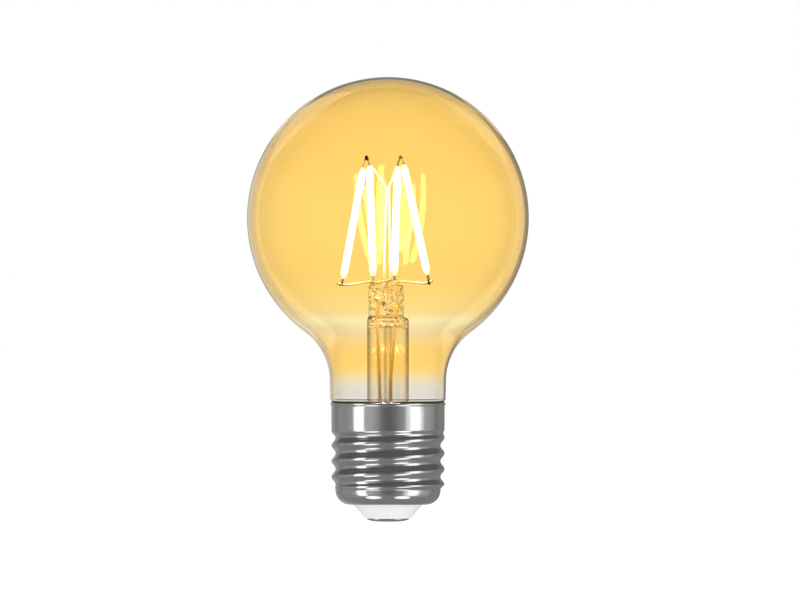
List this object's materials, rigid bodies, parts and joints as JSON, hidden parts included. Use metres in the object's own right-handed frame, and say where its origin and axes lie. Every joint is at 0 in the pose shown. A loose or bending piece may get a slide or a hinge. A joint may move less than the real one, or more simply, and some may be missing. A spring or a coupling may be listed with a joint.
{
  "type": "smart light bulb",
  "caption": "Round amber glass filament lamp on a screw cap, with a dimmable driver and radio hidden in the cap.",
  "frame": {"origin": "tip of the centre contact, on the lamp's axis, at its lowest point", "axes": "+Z along the axis from the centre contact to the top of the globe, +X to the right and -Y to the front, where the filaments hang"},
  "size_m": [0.065, 0.065, 0.1025],
  "materials": {
    "amber_glass": "clear amber tint, polished",
    "clear_glass": "clear, fire polished",
    "cement": "dark baked cement",
    "plated_shell": "nickel plated, rolled",
    "insulator": "white, smooth",
    "contact": "tinned, lightly scuffed",
    "nickel_wire": "drawn nickel wire",
    "copper_wire": "bare copper",
    "phosphor": "phosphor silicone, lit",
    "carrier": "plated strip",
    "weld": "heat-darkened weld",
    "board": "solder mask",
    "solder": "solder",
    "can_sleeve": "shrink sleeve",
    "ferrite": "ferrite",
    "enamelled_copper": "enamelled copper",
    "black_moulding": "moulded epoxy",
    "chip_parts": "ceramic chip with tinned ends",
    "resistor_body": "lacquered",
    "header_gold": "gold flash",
    "radio_can": "tinned can",
    "live_insulation": "silicone sleeve",
    "neutral_insulation": "silicone sleeve",
    "sleeve_plastic": "moulded"
  },
  "bodies": {
    "root": {"glass_globe": "amber_glass", "glass_stem": "clear_glass", "exhaust_tube": "clear_glass", "cement_ring": "cement", "cap_shell": "plated_shell", "cap_insulator": "insulator", "centre_contact": "contact", "support_wire_left": "nickel_wire", "support_wire_right": "nickel_wire", "inner_lead_left": "nickel_wire", "inner_lead_right": "nickel_wire", "jumper_wire": "nickel_wire", "outer_lead_left": "copper_wire", "outer_lead_right": "copper_wire", "filament_1": "phosphor", "filament_2": "phosphor", "filament_3": "phosphor", "filament_4": "phosphor", "filament_strip_1": "carrier", "filament_strip_2": "carrier", "filament_strip_3": "carrier", "filament_strip_4": "carrier", "top_welds": "weld", "foot_welds": "weld", "driver_board": "board", "radio_board": "board", "solder_joints": "solder", "input_capacitor": "can_sleeve", "output_capacitor": "can_sleeve", "choke_core": "ferrite", "choke_winding": "enamelled_copper", "bridge_rectifier": "black_moulding", "driver_chip": "black_moulding", "switch_transistor": "black_moulding", "header_block": "black_moulding", "chip_resistors": "chip_parts", "chip_capacitors": "chip_parts", "radio_antenna": "chip_parts", "fusible_resistor": "resistor_body", "header_pins": "header_gold", "radio_shield": "radio_can", "live_wire": "live_insulation", "neutral_wire": "neutral_insulation", "insulating_sleeve": "sleeve_plastic"}
  },
  "joints": []
}
